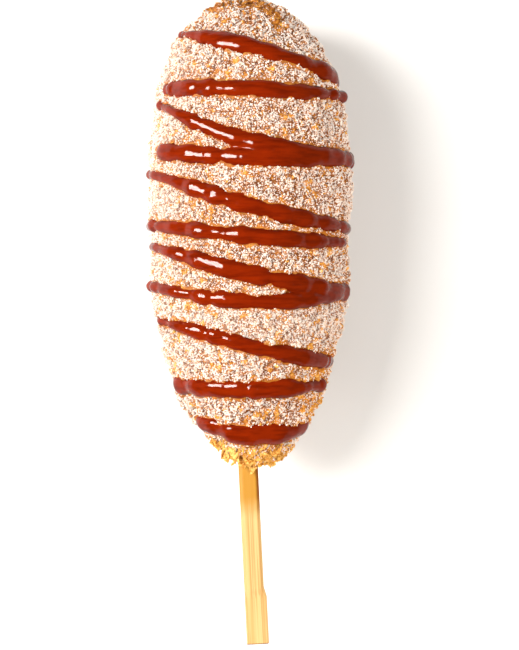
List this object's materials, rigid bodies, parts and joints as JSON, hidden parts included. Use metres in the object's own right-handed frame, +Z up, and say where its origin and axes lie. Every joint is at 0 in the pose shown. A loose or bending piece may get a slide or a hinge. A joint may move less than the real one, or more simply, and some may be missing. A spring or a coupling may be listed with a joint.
{
  "type": "corn dog",
  "caption": "Sugar-dusted, crumb-coated corn dog with a ketchup drizzle on a flat bamboo stick, lying on its side.",
  "frame": {"origin": "on the small flat that the coating rests on, under its widest section", "axes": "+Z up, +Y along the dog from the stick towards the rounded tip, +X to the right seen from above with the tip ahead"},
  "size_m": [0.0566, 0.1805, 0.0555],
  "materials": {
    "crust": "fried crumb, dry and rough",
    "sugar": "loose crystals, glittering",
    "ketchup": "wet and smooth",
    "bamboo": "planed, matt, oily near the coating"
  },
  "bodies": {
    "root": {"coated_dog": "crust", "stick": "bamboo"}
  },
  "joints": []
}
